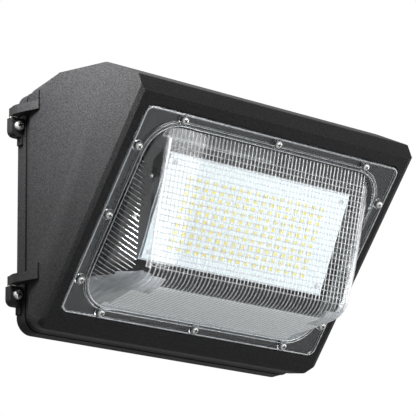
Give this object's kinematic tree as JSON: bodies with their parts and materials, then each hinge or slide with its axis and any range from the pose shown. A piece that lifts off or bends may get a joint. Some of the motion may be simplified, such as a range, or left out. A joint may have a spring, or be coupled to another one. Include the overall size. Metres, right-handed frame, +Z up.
{
  "type": "wall pack light",
  "caption": "Wall pack light: a wedge-shaped cast housing hinged as a door on a shallow back box, with a clear prismatic wedge lens over a tilted lamp board",
  "frame": {"origin": "centre of the back box's wall face, on the wall plane", "axes": "+X right along the wall, +Y into the wall, +Z up; the lens faces -Y and down"},
  "size_m": [0.3584, 0.1951, 0.2359],
  "materials": {
    "housing_coat": "die-cast, under a fine-textured dark powder coat",
    "seal_rubber": "matt silicone",
    "zinc_screw": "bright zinc plate",
    "nylon": "natural nylon",
    "clear_lens": "clear moulded polycarbonate",
    "white_board": "white solder mask",
    "lamp_phosphor": "yellow phosphor",
    "grey_pad": "soft silicone pad",
    "bare_aluminium": "plain extruded",
    "bracket_coat": "dark coat",
    "driver_case": "satin",
    "brown_wire": "wire sheath",
    "blue_wire": "wire sheath",
    "green_wire": "wire sheath",
    "black_wire": "wire sheath",
    "red_wire": "wire sheath"
  },
  "bodies": {
    "wall_box": {"back_box": "housing_coat", "door_seal": "seal_rubber", "entry_grommet": "seal_rubber", "earth_screw": "zinc_screw", "hinge_lock_screws": "zinc_screw", "hinge_washers": "nylon"},
    "door": {"front_housing": "housing_coat", "lens_seal": "seal_rubber", "closing_screws": "zinc_screw", "closing_washers": "zinc_screw", "lens_screws": "zinc_screw", "board_screws": "zinc_screw", "bracket_screws": "zinc_screw", "heat_sink_screws": "zinc_screw", "driver_screws": "zinc_screw", "terminal_screws": "zinc_screw", "terminal_block_screw": "zinc_screw", "hinge_pins": "zinc_screw", "lens": "clear_lens", "led_board": "white_board", "led_chips": "lamp_phosphor", "thermal_pad": "grey_pad", "heat_sink": "bare_aluminium", "left_bracket": "bracket_coat", "right_bracket": "bracket_coat", "led_driver": "driver_case", "terminal_block": "nylon", "live_lead": "brown_wire", "neutral_lead": "blue_wire", "earth_lead": "green_wire", "negative_lead": "black_wire", "positive_lead": "red_wire"}
  },
  "joints": [
    {"name": "door_hinge", "type": "hinge", "parent": "wall_box", "child": "door", "pos_m": [-0.1699, -0.0048, 0], "axis": [0, 0, -1], "range_deg": [0, 80]}
  ]
}
